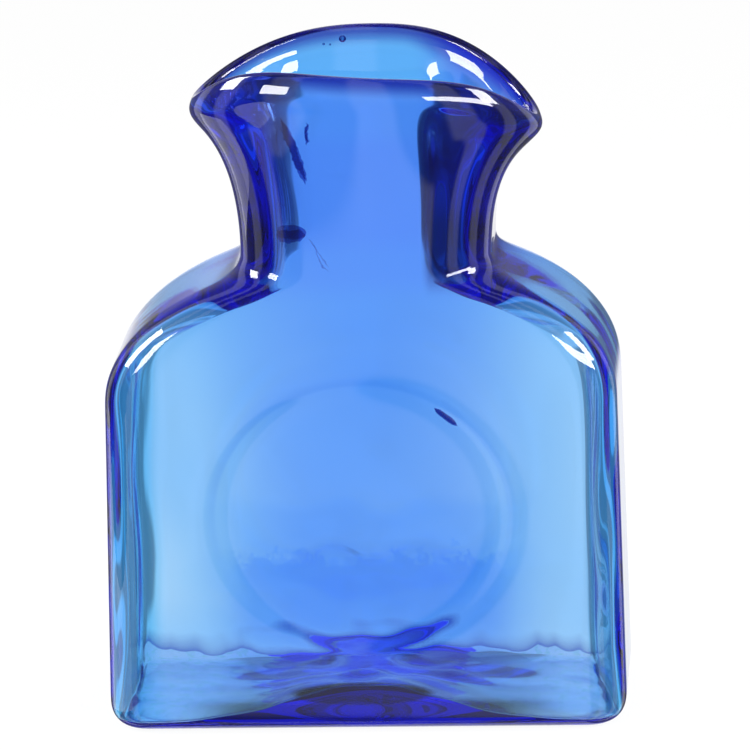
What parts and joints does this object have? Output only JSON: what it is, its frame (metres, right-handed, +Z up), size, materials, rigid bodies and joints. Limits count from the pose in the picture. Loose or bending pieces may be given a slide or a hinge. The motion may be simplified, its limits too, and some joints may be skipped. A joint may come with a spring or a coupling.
{
  "type": "glass water bottle",
  "caption": "Flat square water bottle of blown blue glass, with a shallow round dish on each broad face, a short waist and a wide dipped lip with a pouring spout at each side.",
  "frame": {"origin": "middle of the flat foot ring, on the surface that the bottle stands on", "axes": "+Z up through the mouth, X across the width from spout to spout, Y through the depth from broad face to broad face"},
  "size_m": [0.156, 0.079, 0.2031],
  "materials": {
    "blue_glass": "fire-polished transparent cobalt-blue blown glass, deeper blue where it is thick"
  },
  "bodies": {
    "root": {"glass_bottle": "blue_glass"}
  },
  "joints": []
}
